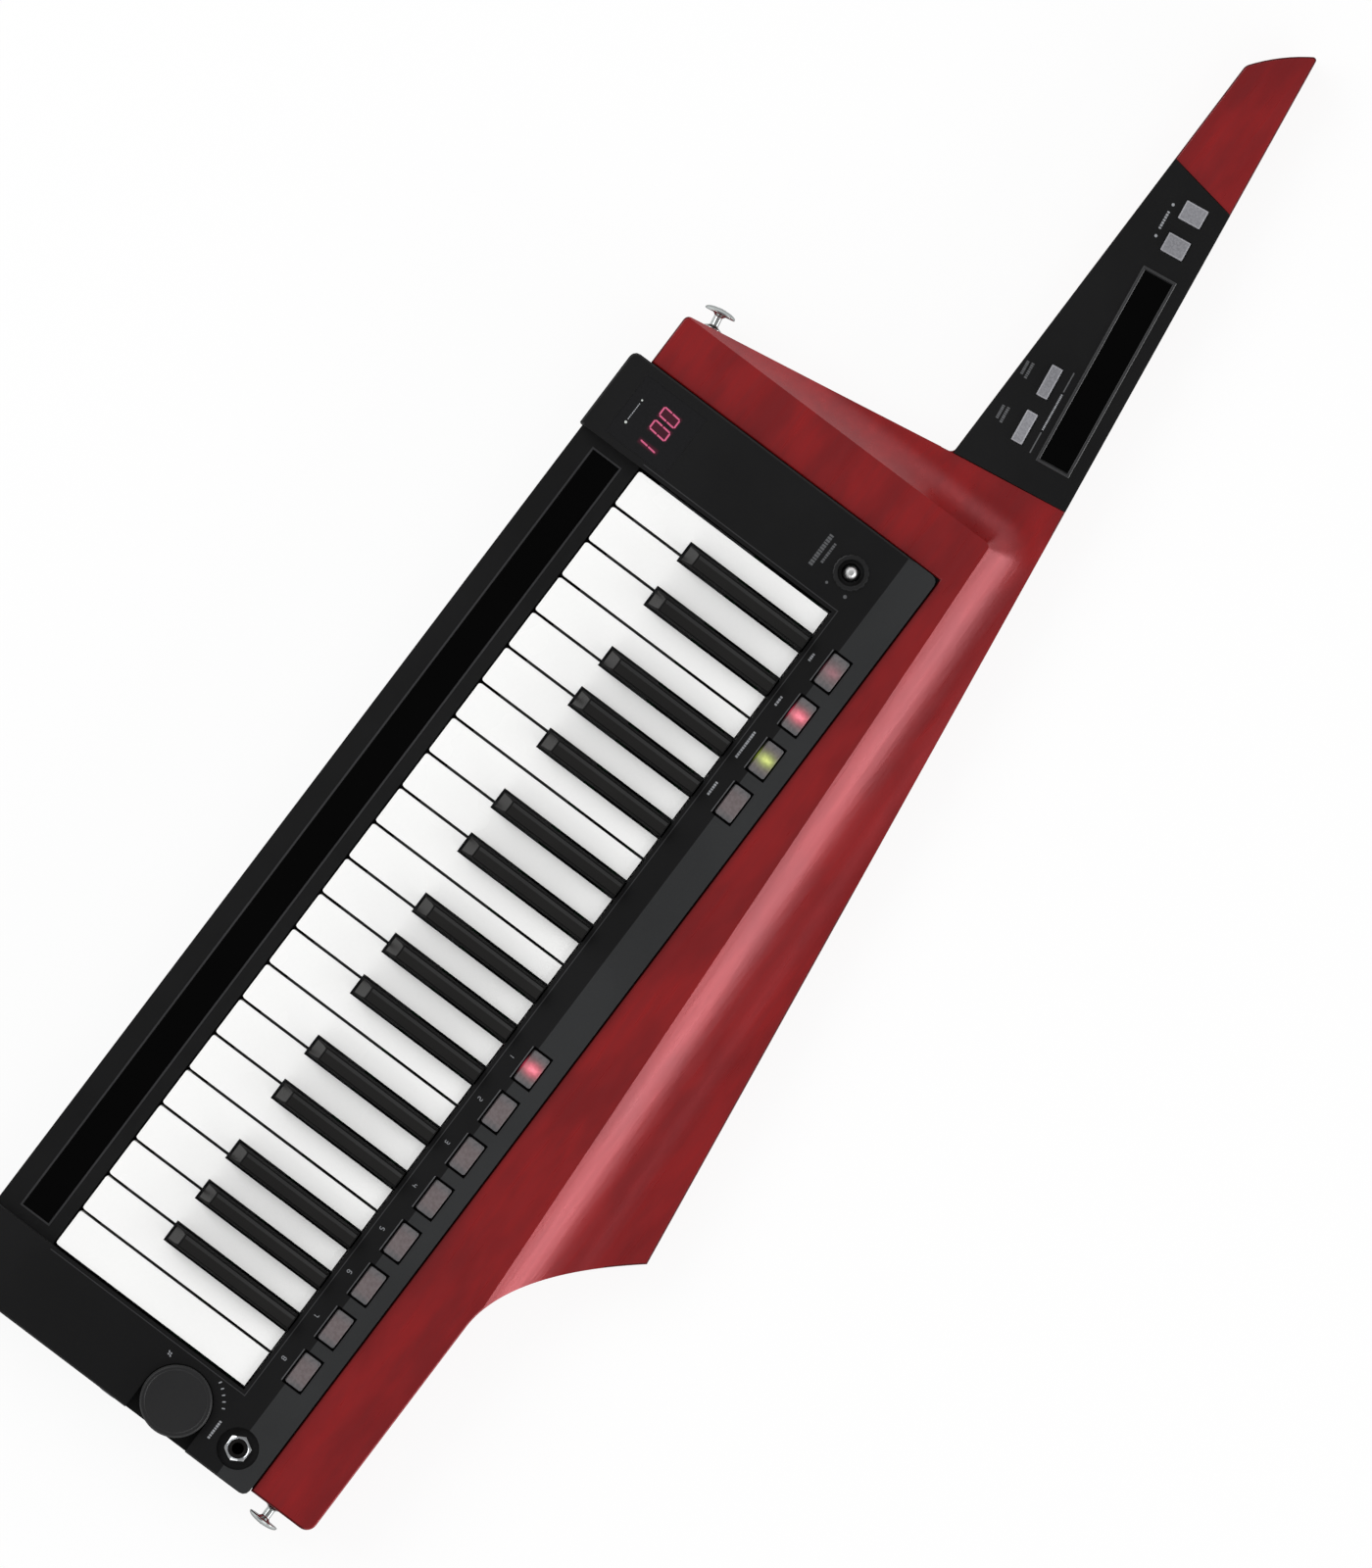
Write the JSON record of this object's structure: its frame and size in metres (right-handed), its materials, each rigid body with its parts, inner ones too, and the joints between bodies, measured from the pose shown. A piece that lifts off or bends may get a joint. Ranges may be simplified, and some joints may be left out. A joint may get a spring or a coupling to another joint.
{
  "type": "keytar",
  "caption": "Strap-on keyboard with a neck: stained wood wing, slim piano keys, two ribbons, display, lit buttons, toggle, volume knob, sockets and strap pins.",
  "frame": {"origin": "middle of the footprint, on the flat back", "axes": "+X from the neck towards the butt end, +Y away from the player, +Z out of the playing face"},
  "size_m": [0.8366, 0.2594, 0.0585],
  "materials": {
    "stained wood": "satin clear coat over a red stain",
    "black shell": "fine matte",
    "white keys": "gloss",
    "black keys": "satin gloss",
    "smoked caps": "translucent satin",
    "silver caps": "fine textured silver paint",
    "gloss black": "high gloss",
    "knob": "satin",
    "chrome": "polished",
    "rubber": "matte",
    "board": "coated",
    "steel": "zinc plated"
  },
  "bodies": {
    "instrument": {"keyboard_panel": "black shell", "display_window": "gloss black", "long_ribbon": "gloss black", "headphone_jack": "chrome", "lower_case": "black shell", "battery_cover": "black shell", "key_chassis": "steel", "main_board": "board", "contact_strip": "rubber", "wood_body": "stained wood", "neck_strap_pin": "chrome", "butt_strap_pin": "chrome", "neck_panel": "black shell", "short_ribbon": "gloss black"},
    "white_key_c1": {"white_key_c1": "white keys"},
    "black_key_cs1": {"black_key_cs1": "black keys"},
    "white_key_d1": {"white_key_d1": "white keys"},
    "black_key_ds1": {"black_key_ds1": "black keys"},
    "white_key_e1": {"white_key_e1": "white keys"},
    "white_key_f1": {"white_key_f1": "white keys"},
    "black_key_fs1": {"black_key_fs1": "black keys"},
    "white_key_g1": {"white_key_g1": "white keys"},
    "black_key_gs1": {"black_key_gs1": "black keys"},
    "white_key_a1": {"white_key_a1": "white keys"},
    "black_key_as1": {"black_key_as1": "black keys"},
    "white_key_b1": {"white_key_b1": "white keys"},
    "white_key_c2": {"white_key_c2": "white keys"},
    "black_key_cs2": {"black_key_cs2": "black keys"},
    "white_key_d2": {"white_key_d2": "white keys"},
    "black_key_ds2": {"black_key_ds2": "black keys"},
    "white_key_e2": {"white_key_e2": "white keys"},
    "white_key_f2": {"white_key_f2": "white keys"},
    "black_key_fs2": {"black_key_fs2": "black keys"},
    "white_key_g2": {"white_key_g2": "white keys"},
    "black_key_gs2": {"black_key_gs2": "black keys"},
    "white_key_a2": {"white_key_a2": "white keys"},
    "black_key_as2": {"black_key_as2": "black keys"},
    "white_key_b2": {"white_key_b2": "white keys"},
    "white_key_c3": {"white_key_c3": "white keys"},
    "black_key_cs3": {"black_key_cs3": "black keys"},
    "white_key_d3": {"white_key_d3": "white keys"},
    "black_key_ds3": {"black_key_ds3": "black keys"},
    "white_key_e3": {"white_key_e3": "white keys"},
    "white_key_f3": {"white_key_f3": "white keys"},
    "black_key_fs3": {"black_key_fs3": "black keys"},
    "white_key_g3": {"white_key_g3": "white keys"},
    "black_key_gs3": {"black_key_gs3": "black keys"},
    "white_key_a3": {"white_key_a3": "white keys"},
    "black_key_as3": {"black_key_as3": "black keys"},
    "white_key_b3": {"white_key_b3": "white keys"},
    "white_key_c4": {"white_key_c4": "white keys"},
    "function_keypad": {"function_keypad": "smoked caps"},
    "favourite_keypad": {"favourite_keypad": "smoked caps"},
    "volume_knob": {"volume_knob": "knob"},
    "value_toggle": {"value_toggle": "chrome"},
    "power_button": {"power_button": "silver caps"},
    "octave_down_button": {"octave_down_button": "silver caps"},
    "octave_up_button": {"octave_up_button": "silver caps"},
    "ribbon_mode_button": {"ribbon_mode_button": "silver caps"},
    "ribbon_select_button": {"ribbon_select_button": "silver caps"}
  },
  "joints": [
    {"name": "white_key_c1_press", "type": "hinge", "parent": "instrument", "child": "white_key_c1", "pos_m": [-0.06647, 0.03087, 0.036], "axis": [1, 0, 0], "range_deg": [0, 3.4], "stiffness_Nm_per_rad": 0.15, "springref_deg": -17.19},
    {"name": "black_key_cs1_press", "type": "hinge", "parent": "instrument", "child": "black_key_cs1", "pos_m": [-0.05873, 0.03087, 0.036], "axis": [1, 0, 0], "range_deg": [0, 3.4], "stiffness_Nm_per_rad": 0.15, "springref_deg": -17.19},
    {"name": "white_key_d1_press", "type": "hinge", "parent": "instrument", "child": "white_key_d1", "pos_m": [-0.04611, 0.03087, 0.036], "axis": [1, 0, 0], "range_deg": [0, 3.4], "stiffness_Nm_per_rad": 0.15, "springref_deg": -17.19},
    {"name": "black_key_ds1_press", "type": "hinge", "parent": "instrument", "child": "black_key_ds1", "pos_m": [-0.03328, 0.03087, 0.036], "axis": [1, 0, 0], "range_deg": [0, 3.4], "stiffness_Nm_per_rad": 0.15, "springref_deg": -17.19},
    {"name": "white_key_e1_press", "type": "hinge", "parent": "instrument", "child": "white_key_e1", "pos_m": [-0.02575, 0.03087, 0.036], "axis": [1, 0, 0], "range_deg": [0, 3.4], "stiffness_Nm_per_rad": 0.15, "springref_deg": -17.19},
    {"name": "white_key_f1_press", "type": "hinge", "parent": "instrument", "child": "white_key_f1", "pos_m": [-0.00539, 0.03087, 0.036], "axis": [1, 0, 0], "range_deg": [0, 3.4], "stiffness_Nm_per_rad": 0.15, "springref_deg": -17.19},
    {"name": "black_key_fs1_press", "type": "hinge", "parent": "instrument", "child": "black_key_fs1", "pos_m": [0.00153, 0.03087, 0.036], "axis": [1, 0, 0], "range_deg": [0, 3.4], "stiffness_Nm_per_rad": 0.15, "springref_deg": -17.19},
    {"name": "white_key_g1_press", "type": "hinge", "parent": "instrument", "child": "white_key_g1", "pos_m": [0.01497, 0.03087, 0.036], "axis": [1, 0, 0], "range_deg": [0, 3.4], "stiffness_Nm_per_rad": 0.15, "springref_deg": -17.19},
    {"name": "black_key_gs1_press", "type": "hinge", "parent": "instrument", "child": "black_key_gs1", "pos_m": [0.02474, 0.03087, 0.036], "axis": [1, 0, 0], "range_deg": [0, 3.4], "stiffness_Nm_per_rad": 0.15, "springref_deg": -17.19},
    {"name": "white_key_a1_press", "type": "hinge", "parent": "instrument", "child": "white_key_a1", "pos_m": [0.03533, 0.03087, 0.036], "axis": [1, 0, 0], "range_deg": [0, 3.4], "stiffness_Nm_per_rad": 0.15, "springref_deg": -17.19},
    {"name": "black_key_as1_press", "type": "hinge", "parent": "instrument", "child": "black_key_as1", "pos_m": [0.04877, 0.03087, 0.036], "axis": [1, 0, 0], "range_deg": [0, 3.4], "stiffness_Nm_per_rad": 0.15, "springref_deg": -17.19},
    {"name": "white_key_b1_press", "type": "hinge", "parent": "instrument", "child": "white_key_b1", "pos_m": [0.05569, 0.03087, 0.036], "axis": [1, 0, 0], "range_deg": [0, 3.4], "stiffness_Nm_per_rad": 0.15, "springref_deg": -17.19},
    {"name": "white_key_c2_press", "type": "hinge", "parent": "instrument", "child": "white_key_c2", "pos_m": [0.07605, 0.03087, 0.036], "axis": [1, 0, 0], "range_deg": [0, 3.4], "stiffness_Nm_per_rad": 0.15, "springref_deg": -17.19},
    {"name": "black_key_cs2_press", "type": "hinge", "parent": "instrument", "child": "black_key_cs2", "pos_m": [0.08379, 0.03087, 0.036], "axis": [1, 0, 0], "range_deg": [0, 3.4], "stiffness_Nm_per_rad": 0.15, "springref_deg": -17.19},
    {"name": "white_key_d2_press", "type": "hinge", "parent": "instrument", "child": "white_key_d2", "pos_m": [0.09641, 0.03087, 0.036], "axis": [1, 0, 0], "range_deg": [0, 3.4], "stiffness_Nm_per_rad": 0.15, "springref_deg": -17.19},
    {"name": "black_key_ds2_press", "type": "hinge", "parent": "instrument", "child": "black_key_ds2", "pos_m": [0.10924, 0.03087, 0.036], "axis": [1, 0, 0], "range_deg": [0, 3.4], "stiffness_Nm_per_rad": 0.15, "springref_deg": -17.19},
    {"name": "white_key_e2_press", "type": "hinge", "parent": "instrument", "child": "white_key_e2", "pos_m": [0.11677, 0.03087, 0.036], "axis": [1, 0, 0], "range_deg": [0, 3.4], "stiffness_Nm_per_rad": 0.15, "springref_deg": -17.19},
    {"name": "white_key_f2_press", "type": "hinge", "parent": "instrument", "child": "white_key_f2", "pos_m": [0.13713, 0.03087, 0.036], "axis": [1, 0, 0], "range_deg": [0, 3.4], "stiffness_Nm_per_rad": 0.15, "springref_deg": -17.19},
    {"name": "black_key_fs2_press", "type": "hinge", "parent": "instrument", "child": "black_key_fs2", "pos_m": [0.14405, 0.03087, 0.036], "axis": [1, 0, 0], "range_deg": [0, 3.4], "stiffness_Nm_per_rad": 0.15, "springref_deg": -17.19},
    {"name": "white_key_g2_press", "type": "hinge", "parent": "instrument", "child": "white_key_g2", "pos_m": [0.15749, 0.03087, 0.036], "axis": [1, 0, 0], "range_deg": [0, 3.4], "stiffness_Nm_per_rad": 0.15, "springref_deg": -17.19},
    {"name": "black_key_gs2_press", "type": "hinge", "parent": "instrument", "child": "black_key_gs2", "pos_m": [0.16726, 0.03087, 0.036], "axis": [1, 0, 0], "range_deg": [0, 3.4], "stiffness_Nm_per_rad": 0.15, "springref_deg": -17.19},
    {"name": "white_key_a2_press", "type": "hinge", "parent": "instrument", "child": "white_key_a2", "pos_m": [0.17785, 0.03087, 0.036], "axis": [1, 0, 0], "range_deg": [0, 3.4], "stiffness_Nm_per_rad": 0.15, "springref_deg": -17.19},
    {"name": "black_key_as2_press", "type": "hinge", "parent": "instrument", "child": "black_key_as2", "pos_m": [0.19129, 0.03087, 0.036], "axis": [1, 0, 0], "range_deg": [0, 3.4], "stiffness_Nm_per_rad": 0.15, "springref_deg": -17.19},
    {"name": "white_key_b2_press", "type": "hinge", "parent": "instrument", "child": "white_key_b2", "pos_m": [0.19821, 0.03087, 0.036], "axis": [1, 0, 0], "range_deg": [0, 3.4], "stiffness_Nm_per_rad": 0.15, "springref_deg": -17.19},
    {"name": "white_key_c3_press", "type": "hinge", "parent": "instrument", "child": "white_key_c3", "pos_m": [0.21857, 0.03087, 0.036], "axis": [1, 0, 0], "range_deg": [0, 3.4], "stiffness_Nm_per_rad": 0.15, "springref_deg": -17.19},
    {"name": "black_key_cs3_press", "type": "hinge", "parent": "instrument", "child": "black_key_cs3", "pos_m": [0.22631, 0.03087, 0.036], "axis": [1, 0, 0], "range_deg": [0, 3.4], "stiffness_Nm_per_rad": 0.15, "springref_deg": -17.19},
    {"name": "white_key_d3_press", "type": "hinge", "parent": "instrument", "child": "white_key_d3", "pos_m": [0.23893, 0.03087, 0.036], "axis": [1, 0, 0], "range_deg": [0, 3.4], "stiffness_Nm_per_rad": 0.15, "springref_deg": -17.19},
    {"name": "black_key_ds3_press", "type": "hinge", "parent": "instrument", "child": "black_key_ds3", "pos_m": [0.25176, 0.03087, 0.036], "axis": [1, 0, 0], "range_deg": [0, 3.4], "stiffness_Nm_per_rad": 0.15, "springref_deg": -17.19},
    {"name": "white_key_e3_press", "type": "hinge", "parent": "instrument", "child": "white_key_e3", "pos_m": [0.25929, 0.03087, 0.036], "axis": [1, 0, 0], "range_deg": [0, 3.4], "stiffness_Nm_per_rad": 0.15, "springref_deg": -17.19},
    {"name": "white_key_f3_press", "type": "hinge", "parent": "instrument", "child": "white_key_f3", "pos_m": [0.27965, 0.03087, 0.036], "axis": [1, 0, 0], "range_deg": [0, 3.4], "stiffness_Nm_per_rad": 0.15, "springref_deg": -17.19},
    {"name": "black_key_fs3_press", "type": "hinge", "parent": "instrument", "child": "black_key_fs3", "pos_m": [0.28657, 0.03087, 0.036], "axis": [1, 0, 0], "range_deg": [0, 3.4], "stiffness_Nm_per_rad": 0.15, "springref_deg": -17.19},
    {"name": "white_key_g3_press", "type": "hinge", "parent": "instrument", "child": "white_key_g3", "pos_m": [0.30001, 0.03087, 0.036], "axis": [1, 0, 0], "range_deg": [0, 3.4], "stiffness_Nm_per_rad": 0.15, "springref_deg": -17.19},
    {"name": "black_key_gs3_press", "type": "hinge", "parent": "instrument", "child": "black_key_gs3", "pos_m": [0.30978, 0.03087, 0.036], "axis": [1, 0, 0], "range_deg": [0, 3.4], "stiffness_Nm_per_rad": 0.15, "springref_deg": -17.19},
    {"name": "white_key_a3_press", "type": "hinge", "parent": "instrument", "child": "white_key_a3", "pos_m": [0.32037, 0.03087, 0.036], "axis": [1, 0, 0], "range_deg": [0, 3.4], "stiffness_Nm_per_rad": 0.15, "springref_deg": -17.19},
    {"name": "black_key_as3_press", "type": "hinge", "parent": "instrument", "child": "black_key_as3", "pos_m": [0.33381, 0.03087, 0.036], "axis": [1, 0, 0], "range_deg": [0, 3.4], "stiffness_Nm_per_rad": 0.15, "springref_deg": -17.19},
    {"name": "white_key_b3_press", "type": "hinge", "parent": "instrument", "child": "white_key_b3", "pos_m": [0.34073, 0.03087, 0.036], "axis": [1, 0, 0], "range_deg": [0, 3.4], "stiffness_Nm_per_rad": 0.15, "springref_deg": -17.19},
    {"name": "white_key_c4_press", "type": "hinge", "parent": "instrument", "child": "white_key_c4", "pos_m": [0.36109, 0.03087, 0.036], "axis": [1, 0, 0], "range_deg": [0, 3.4], "stiffness_Nm_per_rad": 0.15, "springref_deg": -17.19},
    {"name": "function_keypad_press", "type": "slide", "parent": "instrument", "child": "function_keypad", "axis": [0, -0.2045, -0.9789], "range_m": [0, 0.0008], "stiffness_N_per_m": 300, "springref_m": -0.003},
    {"name": "favourite_keypad_press", "type": "slide", "parent": "instrument", "child": "favourite_keypad", "axis": [0, -0.2045, -0.9789], "range_m": [0, 0.0008], "stiffness_N_per_m": 300, "springref_m": -0.003},
    {"name": "volume_turn", "type": "hinge", "parent": "instrument", "child": "volume_knob", "pos_m": [0.39517, -0.00583, 0.05], "axis": [0, 0, 1], "range_deg": [-150, 150]},
    {"name": "value_tilt", "type": "hinge", "parent": "instrument", "child": "value_toggle", "pos_m": [-0.09725, 0.01207, 0.0425], "axis": [1, 0, 0], "range_deg": [-12, 12], "stiffness_Nm_per_rad": 0.05},
    {"name": "power_press", "type": "slide", "parent": "instrument", "child": "power_button", "axis": [-1, 0, 0], "range_m": [0, 0.0012], "stiffness_N_per_m": 300, "springref_m": -0.003},
    {"name": "octave_down_button_press", "type": "slide", "parent": "instrument", "child": "octave_down_button", "axis": [0, 0, -1], "range_m": [0, 0.0008], "stiffness_N_per_m": 250, "springref_m": -0.003},
    {"name": "octave_up_button_press", "type": "slide", "parent": "instrument", "child": "octave_up_button", "axis": [0, 0, -1], "range_m": [0, 0.0008], "stiffness_N_per_m": 250, "springref_m": -0.003},
    {"name": "ribbon_mode_button_press", "type": "slide", "parent": "instrument", "child": "ribbon_mode_button", "axis": [0, 0, -1], "range_m": [0, 0.0008], "stiffness_N_per_m": 250, "springref_m": -0.003},
    {"name": "ribbon_select_button_press", "type": "slide", "parent": "instrument", "child": "ribbon_select_button", "axis": [0, 0, -1], "range_m": [0, 0.0008], "stiffness_N_per_m": 250, "springref_m": -0.003}
  ]
}
